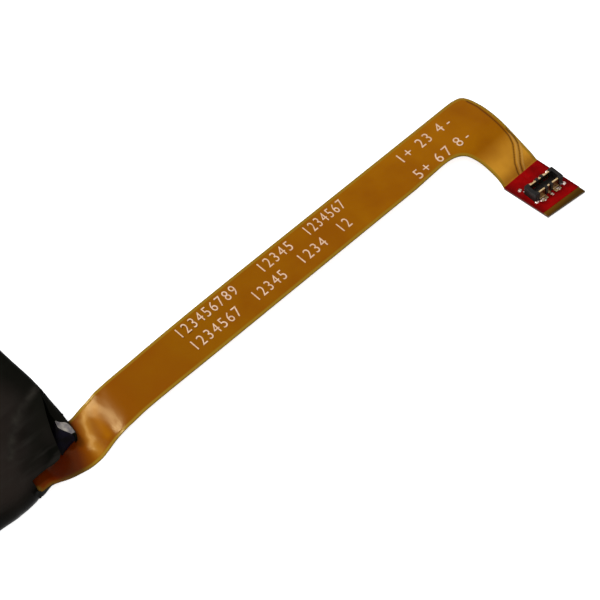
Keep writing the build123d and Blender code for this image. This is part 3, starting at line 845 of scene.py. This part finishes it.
def wrap_skin(start, end, rows, flat_steps):
    """The outside of a wrap, open at its start and closed with a rounded edge at its end."""
    section = section_points(2 * SIDE, flat_steps)
    forward = 1 if end > start else -1
    stations = [(y, 0.0) for y in np.linspace(start, end - forward * END_RADIUS, rows)]
    for i in range(1, END_STEPS + 1):
        angle = pi / 2 * i / END_STEPS
        place = end - forward * END_RADIUS * (1 - sin(angle))
        stations.append((place, END_RADIUS * (1 - cos(angle))))
    half = TAPE_END_HEIGHT / 2
    stations += [(end, inset) for inset in np.linspace(END_RADIUS, half, END_STEPS)[1:]]
    mesh = bmesh.new()
    rings = []
    for y, inset in stations:
        tall = slab_height(y)
        middle = tall / 2
        squeeze = max(0.0, 1 - inset / middle) if inset < half else 0.0
        rings.append([mesh.verts.new((x * (SIDE - inset) / SIDE, y,
                                      middle + (share * tall - middle) * squeeze))
                      for x, share in section])
    for low, high in zip(rings, rings[1:]):
        stitch(mesh, *((low, high) if forward == 1 else (high, low)))
    bmesh.ops.remove_doubles(mesh, verts=mesh.verts, dist=WELD)
    bmesh.ops.recalc_face_normals(mesh, faces=mesh.faces)
    return mesh


# Creases pressed into the tape: start, end, depth and width. A negative depth stands proud. They
# end where the tape goes below a height.
CREASE_ZONE = 0.8
TOP_CREASES = (
    ((17.9, 42.8), (19, 38.9), -0.1, 0.9), ((19, 38.9), (21.7, 35.6), -0.09, 0.9),
    ((21.7, 35.6), (25.6, 31), -0.06, 0.8), ((18.6, 42), (22.6, 36.8), 0.16, 1),
    ((12, 42.8), (16.5, 35), 0.08, 1.2), ((16.5, 35), (20.5, 30), -0.07, 0.9),
    ((6, 42.8), (9.5, 33), -0.06, 1), ((-4, 42.8), (-1, 34), 0.07, 1.2),
    ((-12, 42.8), (-14, 33.5), -0.07, 1), ((-20, 42.8), (-18, 31), 0.08, 1.1),
    ((-26, 33.2), (26, 32.6), 0.05, 0.8), ((-26, 40), (-19, 42.9), 0.07, 0.9),
    ((23, 40.3), (24.4, 34), -0.08, 0.7), ((24, 36.5), (26.4, 32.5), 0.1, 0.8),
)


def crease(point):
    """How far the creases push a point of the wrap inward."""
    flat = np.array([[point.x, point.y]])
    return sum(depth * exp(-distance_to(flat, (start, end))[0] / width)
               for start, end, depth, width in TOP_CREASES)


def wave(point, size, depth):
    """Broad unevenness of a skin."""
    return depth * noise.noise(point / size)


# Mouth of the tape at the flex corner, and the trim of its back, as places in the plan, and the
# slanted edge of its end wall, as places across and up
MOUTH = (
    (17.9, 43.4), (17.9, 42.95), (19.7, 42.05), (21.2, 41.2), (23, 40.3), (24.8, 39.55),
    (25.7, 39.2), (26.1, 38.75), (26.15, 37.9), (26.05, 36.9), (26.1, 35.05), (28, 35.05),
)
BACK_TRIM = ((28, 35), (27, 35), (25, 37), (25, 43.4))
WALL_LINE = ((17.85, 3.3), (21.4, 1.45), (21.4, 0))
OUTSIDE_CORNER = (28.0, 43.4)
# Faces lower than this are the tape's back. Cut edges past MOUTH_ZONE are drawn onto their lines.
BACK_ZONE = 0.12
MOUTH_ZONE = 33
MOUTH_REACH = 1.0
WALL_REACH = 0.5
WALL_DROP = 0.2


def inside_polygon(x, y, polygon):
    """Whether a plan point lies in a polygon."""
    hit = False
    for (x1, y1), (x2, y2) in zip(polygon, polygon[1:] + polygon[:1]):
        if (y1 > y) != (y2 > y) and x < (x2 - x1) * (y - y1) / (y2 - y1) + x1:
            hit = not hit
    return hit


def nearest(point, path):
    """The place on a path nearest to a point."""
    point = Vector(point)
    places = []
    for start, end in zip(path, path[1:]):
        start, end = Vector(start), Vector(end)
        span = end - start
        places.append(start + clamp((point - start).dot(span) / span.length_squared) * span)
    return min(places, key=lambda place: (point - place).length)


def wall_height(x):
    """Height of the upper edge of the tape's end wall beside the mouth."""
    return float(np.interp(x, *zip(*WALL_LINE[:2])))


def cut_mouth(mesh):
    """Open the tape around the flex and draw the cut edges onto their lines."""
    mouth, back = MOUTH + (OUTSIDE_CORNER,), BACK_TRIM + (OUTSIDE_CORNER,)
    end_zone = PACK_END - END_RADIUS / 2
    wall_start, wall_end = WALL_LINE[0][0], WALL_LINE[1][0]
    gone = []
    for face in mesh.faces:
        x, y, z = face.calc_center_median()
        if z < BACK_ZONE:
            cut = inside_polygon(x, y, back)
        elif y > end_zone and x < wall_end:
            cut = x > wall_start and z > wall_height(x)
        else:
            cut = inside_polygon(x, y, mouth)
        if cut:
            gone.append(face)
    bmesh.ops.delete(mesh, geom=gone, context="FACES")
    for vertex in mesh.verts:
        x, y, z = vertex.co
        if not vertex.is_boundary or y < MOUTH_ZONE:
            continue
        if z < BACK_ZONE:
            vertex.co.xy = nearest((x, y), BACK_TRIM)
        elif y > end_zone and x < wall_end + WALL_REACH and z < TAPE_END_HEIGHT - WALL_DROP:
            vertex.co.x, vertex.co.z = nearest((x, z), WALL_LINE)
        else:
            place = nearest((x, y), MOUTH)
            if (place - Vector((x, y))).length < MOUTH_REACH:
                vertex.co.xy = place


# Folded flap beside the mouth: its outer edge, the two sides of its lip, and where its inside
# meets the flex. The lip carries a painted highlight, and its inside is a dark sheet of painted
# shade.
FLAP_OUTER = (
    (17.6, 43, 2.95), (18.77, 43, 2.6), (19.97, 43, 2.2), (21.16, 42.98, 1.8), (22.35, 42.9, 1.4),
    (23.1, 42.84, 1.14), (23.75, 42.7, 1.05), (24.2, 42.46, 1), (24.45, 42.2, 0.9),
    (24.5, 41.95, 0.8),
)
FLAP_CREST = (
    (17.7, 42.95, 3.2), (18.6, 42.65, 3), (19.7, 42.35, 2.75), (20.8, 42, 2.45),
    (21.85, 41.86, 2.1), (22.46, 42.5, 1.82), (23.09, 42.64, 1.6), (23.85, 42.55, 1.42),
    (24.25, 42.35, 1.25), (24.45, 42.1, 0.95),
)
FLAP_LIP = (
    (17.7, 42.93, 3.2), (18.6, 42.55, 2.95), (19.7, 42.15, 2.65), (20.8, 41.75, 2.3),
    (21.65, 41.76, 1.95), (22.28, 41.62, 1.62), (23, 41.88, 1.5), (23.7, 42.2, 1.36),
    (24.1, 42.2, 1.2), (24.35, 42, 0.92),
)
FLAP_INSIDE = (
    (17.9, 42.6, 2.2), (18.8, 42.2, 2), (19.8, 41.7, 1.8), (20.9, 41.2, 1.5), (22, 40.8, 1.25),
    (23.3, 40.2, 1.35), (24.85, 39.82, 1.36), (24.68, 40.35, 1.12), (24.45, 40.95, 0.85),
    (24.2, 41.7, 0.68),
)
FLAP_STEPS = 46
FLAP_ACROSS = 5
FLAP_BULGE = 0.1
# Where along the flap its lip carries a painted highlight; the painted shade inside starts there
LIP_GLINT = (0.43, 0.76)
# Low wall of the tape that stands beside the flex past the notch: its upper and lower edges
LAP_TOP = (
    (27.3, 34.6, 3.2), (27.5, 34.95, 3.2), (27.58, 35.12, 3), (27.58, 35.48, 2.94),
    (27.58, 35.88, 2.93), (27.58, 36.26, 2.88), (27.58, 36.6, 2.84),
)
LAP_LOW = (
    (27.3, 34.6, 2.2), (27.5, 34.75, 2.22), (27.58, 35.06, 2.24), (27.58, 35.4, 2.3),
    (27.58, 35.81, 2.52), (27.58, 36.23, 2.74), (27.58, 36.6, 2.82),
)
LAP_STEPS = 20


def add_flap(mesh):
    """The folded flap by the mouth, a painted highlight on its tip and painted shade inside."""
    lines = [curve_points(points, FLAP_STEPS)
             for points in (FLAP_OUTER, FLAP_CREST, FLAP_LIP, FLAP_INSIDE)]
    grid = []
    for first, second in zip(lines, lines[1:]):
        for i in range(FLAP_ACROSS):
            share = i / FLAP_ACROSS
            row = first + (second - first) * share
            row[:, 2] += FLAP_BULGE * sin(pi * share) * (first is not lines[2])
            grid.append(row)
    grid.append(lines[-1])
    made = [[mesh.verts.new(point) for point in line] for line in grid]
    for i in range(len(made) - 1):
        for j in range(FLAP_STEPS - 1):
            face = mesh.faces.new((made[i][j], made[i + 1][j], made[i + 1][j + 1], made[i][j + 1]))
            band = i // FLAP_ACROSS
            share = j / (FLAP_STEPS - 1)
            # Painted highlight on part of the lip
            if band == 1 and LIP_GLINT[0] < share < LIP_GLINT[1]:
                face.material_index = 1
            # Painted shade: the dark sheet inside the flap
            if band == 2 and share > LIP_GLINT[0]:
                face.material_index = 2
    top, low = curve_points(LAP_TOP, LAP_STEPS), curve_points(LAP_LOW, LAP_STEPS)
    made = [[mesh.verts.new(point) for point in low + (top - low) * share]
            for share in (0, 0.5, 1)]
    for first, second in zip(made, made[1:]):
        stitch(mesh, first, second, closed=False)


def finish_skin(mesh, name):
    """Turn a skin in millimetres into a finished mesh in metres."""
    for vertex in mesh.verts:
        vertex.co *= MM
    data = bpy.data.meshes.new(name)
    mesh.to_mesh(data)
    mesh.free()
    piece = add_object(name + "_raw", data)
    solid = piece.modifiers.new("skin", "SOLIDIFY")
    solid.thickness = WRAP_THICKNESS * MM
    solid.offset = -1
    solid.use_even_offset = True
    result = evaluated_mesh(piece)
    result.name = name
    shade_smooth(result, WRAP_SHARP)
    return result


def displace(mesh, push):
    """Move each point of a skin along its normal by a function of its place, above the floor."""
    mesh.normal_update()
    moves = [(vertex, vertex.normal * push(vertex.co)) for vertex in mesh.verts]
    for vertex, move in moves:
        if vertex.co.z < FLOOR_ZONE:
            move = Vector((move.x, move.y, abs(move.z) * FLOOR_SHARE))
        vertex.co += move
        vertex.co.z = max(0.0, vertex.co.z)


# How far the tape stands off its plain shape, by place along its end and down its side, with the
# place where each begins and the length over which it grows
END_FLARE = (40, 3)
SIDE_FLARE = (25.5, 1.5)
END_PUSH = ((-27, 0.26), (12, 0.26), (13.5, 0.18), (16.5, 0.17), (18.2, 0.0))
SIDE_PUSH = (
    (27.5, -0.1), (28.9, -0.03), (30.4, 0.07), (31.9, 0.29), (33.4, 0.28), (34.2, 0.2),
    (34.7, 0.12), (35, 0),
)


def settle(mesh):
    """Let the tape stand off where it isn't pulled tight."""
    for vertex in mesh.verts:
        x, y, _ = vertex.co
        if y > END_FLARE[0]:
            flare = (y - END_FLARE[0]) / END_FLARE[1]
            vertex.co.y += flare * float(np.interp(x, *zip(*END_PUSH)))
        share = clamp((abs(x) - SIDE_FLARE[0]) / SIDE_FLARE[1])
        vertex.co.x += copysign(share, x) * float(np.interp(y, *zip(*SIDE_PUSH)))


# Points along and across each wrap and its waves as size and depth, the tape's lift over the film,
# and how far the film lies inside its plain shape
TAPE_ROWS = 44
TAPE_STEPS = 150
TAPE_WAVE = (3.0, 0.04)
TAPE_LIFT = 0.04
FILM_ROWS = 60
FILM_STEPS = 100
FILM_WAVE = (7.0, 0.035)
FILM_INSET = 0.03


def make_tape():
    """The creased end tape with its mouth and curled flap."""
    lap = (PACK_END - END_RADIUS - tape_low.y) / (TAPE_ROWS - 1)
    mesh = wrap_skin(tape_low.y - lap, PACK_END, TAPE_ROWS + 1, TAPE_STEPS)
    cut_mouth(mesh)
    displace(mesh, lambda place: wave(place, *TAPE_WAVE) - crease(place) * (place.z > CREASE_ZONE)
             + TAPE_LIFT * clamp((tape_low.y + 2 * lap - place.y) / (2 * lap)))
    settle(mesh)
    mesh.normal_update()
    add_flap(mesh)
    data = finish_skin(mesh, "end_tape")
    places = np.array([vertex.co for vertex in data.vertices]) / MM
    for name, path, width in TAPE_TONES:
        values = near_line(places[:, :2], path, width)
        store(data, name, values * (places[:, 2] > PACK_THICKNESS / 2))
    add_mesh("end_tape", data, ["black_tape", "lip_highlight", "flap_shade"],
             ["end_wrap"])


def make_film():
    """The film around the cell, a little uneven."""
    mesh = wrap_skin(film_high.y, film_low.y, FILM_ROWS, FILM_STEPS)
    displace(mesh, lambda place: wave(place, *FILM_WAVE) - FILM_INSET)
    data = finish_skin(mesh, "cell_film")
    add_mesh("cell_film", data, ["black_film"], ["body_film"])


# Plain marks on the flex, in place of print: digits in counting order, and signs for the two
# poles. Each row has a baseline and words with their start and end.
MARK_HEIGHT = 1.36
MARK_FILL = 0.8
MARK_THICKNESS = 0.012
MARK_THINNING = -0.005
GLYPH_HEIGHT = 0.69
GLYPH_WIDTH = 0.5
MARK_ROWS = (
    (23.69, ((57.5, 66.4, "123456789"), (69.6, 74.8, "12345"), (76.7, 82.9, "1234567"))),
    (25.95, ((57.6, 64.8, "1234567"), (66.6, 71.6, "12345"), (73.5, 77.8, "1234"),
     (79.6, 81.6, "12"))),
    (24, ((91.2, 93.7, "1+"), (94.5, 96.8, "23"), (97.5, 100.2, "4-"))),
    (26.9, ((91, 93.6, "5+"), (94.3, 97.1, "67"), (97.6, 100.2, "8-"))),
)


def glyph_mesh(character):
    """One character as a flat plate."""
    data = bpy.data.curves.new("glyph", "FONT")
    data.body = character
    data.extrude = MARK_THICKNESS / 2
    data.offset = MARK_THINNING
    data.resolution_u = 3
    return evaluated_mesh(add_object("glyph", data))


def make_marks():
    """Rows of plain marks printed along the flex."""
    marks = bmesh.new()
    scale_up = MARK_HEIGHT / GLYPH_HEIGHT
    for baseline, words in MARK_ROWS:
        for start, end, word in words:
            pitch = (end - start) / len(word)
            scale_along = min(scale_up, MARK_FILL * pitch / GLYPH_WIDTH)
            for i, character in enumerate(word):
                glyph = glyph_mesh(character)
                across = [vertex.co.x for vertex in glyph.vertices]
                center = (min(across) + max(across)) / 2
                middle = start + (i + 0.5) * pitch
                for vertex in glyph.vertices:
                    x = baseline - vertex.co.y * scale_up
                    y = middle + (vertex.co.x - center) * scale_along
                    z = RUN_HEIGHT + MARK_THICKNESS / 2 + vertex.co.z
                    vertex.co = (x * MM, y * MM, z * MM)
                marks.from_mesh(glyph)
                bpy.data.meshes.remove(glyph)
    add_mesh("flex_marks", closed_mesh(marks, "flex_marks"), ["print_ink"])


# Solder on the flat end: place, radii along X and Y, and height over the mask
BEADS = (
    (34.93, 99.22, 0.26, 0.26, 0.16), (37.45, 99.26, 0.24, 0.3, 0.17),
    (37.85, 103.38, 0.24, 0.24, 0.17), (35.35, 103.4, 0.24, 0.24, 0.15),
    (37.62, 99.95, 0.26, 0.42, 0.14), (37.95, 100.1, 0.14, 0.2, 0.16),
    (37.85, 101.3, 0.24, 0.2, 0.15), (38.08, 101.32, 0.12, 0.13, 0.16),
    (37.8, 102.35, 0.28, 0.4, 0.13), (38.08, 102.4, 0.13, 0.18, 0.16),
)
BEAD_STEPS = (18, 7)
BEAD_SINK = 0.01
BEAD_UNEVEN = 0.16
BEAD_TWIST = 0.3
BEAD_SHARP = 60


def make_solder():
    """Rounded, slightly uneven beads of solder at the connector's feet and tails."""
    around, up = BEAD_STEPS
    beads = bmesh.new()
    for x, y, radius_x, radius_y, height in BEADS:
        base = END_HEIGHT + MASK_THICKNESS + (x - END_ROOT) * tan(END_TILT) - BEAD_SINK
        rings = []
        for i in range(up):
            lift = pi / 2 * i / up
            ring = []
            for j in range(around):
                turn = 2 * pi * j / around
                place = Vector((x + cos(turn), y + sin(turn), i * BEAD_TWIST))
                uneven = 1 + BEAD_UNEVEN * noise.noise(place)
                across = radius_x * uneven * cos(lift) * cos(turn)
                along = radius_y * uneven * cos(lift) * sin(turn)
                ring.append(beads.verts.new(((x + across) * MM, (y + along) * MM,
                                             (base + height * sin(lift)) * MM)))
            rings.append(ring)
        for low, high in zip(rings, rings[1:]):
            stitch(beads, low, high)
        crown = beads.verts.new((x * MM, y * MM, (base + height) * MM))
        for j in range(around):
            beads.faces.new((rings[-1][j], rings[-1][(j + 1) % around], crown))
        beads.faces.new(rings[0][::-1])
    add_mesh("solder_beads", closed_mesh(beads, "solder_beads", BEAD_SHARP), ["solder"],
             ["connector_solder"])


# Which finish a CAD node takes, by the first of these parts of its name
NODE_FINISH = {
    "contact": "contact_gold", "pouch_cell": "pouch_foil", "nickel_plate": "tab_nickel",
    "tab_sealant": "tab_sealant", "positive_tab": "tab_aluminium", "negative_tab": "tab_nickel",
    "insulator": "yellow_insulator", "protection_board": "board_green", "foam": "foam_grey",
    "capacitors": "capacitor_tan", "flex_solder": "solder", "hold_downs": "hold_down_metal",
    "connector_housing": "connector_black", "": "chip_black",
}


def dress_nodes():
    """Give every CAD node that stays its finish."""
    for name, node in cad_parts.items():
        finish = next(NODE_FINISH[part] for part in NODE_FINISH if part in name)
        node.data.materials.clear()
        node.data.materials.append(FINISHES[finish])


# The floor's glow near the object and far from it, and where that change starts and ends, in metres
FLOOR_SIZE = 1.5
FLOOR_DROP = 1e-5
FLOOR_GLOW = (0.7, 1.0, 0.2, 0.5)


def make_floor():
    """A pale floor that keeps the object's shadow."""
    mesh = bpy.data.meshes.new("floor")
    corners = ((-1, -1), (1, -1), (1, 1), (-1, 1))
    mesh.from_pydata([(FLOOR_SIZE * x, FLOOR_SIZE * y, -FLOOR_DROP) for x, y in corners],
                     [], [(0, 1, 2, 3)])
    floor = add_object("floor", mesh)
    coat = Surface("floor", (0.9, 0.9, 0.9), 0.9, specular=0.0)
    away = coat.node("VectorMath", coat.place, operation="LENGTH").outputs["Value"]
    glow = coat.node("Math", white_rays(coat.tree), coat.spread(away, *FLOOR_GLOW),
                     operation="MULTIPLY")
    coat.set("Emission Color", (1, 1, 1, 1))
    coat.set("Emission Strength", glow.outputs[0])
    mesh.materials.append(coat.material)


make_camera()
make_world()
for lamp in LAMPS:
    make_lamp(*lamp)
dress_nodes()
make_flex()
make_end()
make_solder()
make_tape()
make_film()
make_marks()
make_floor()

bpy.context.scene.view_settings.view_transform = "Standard"
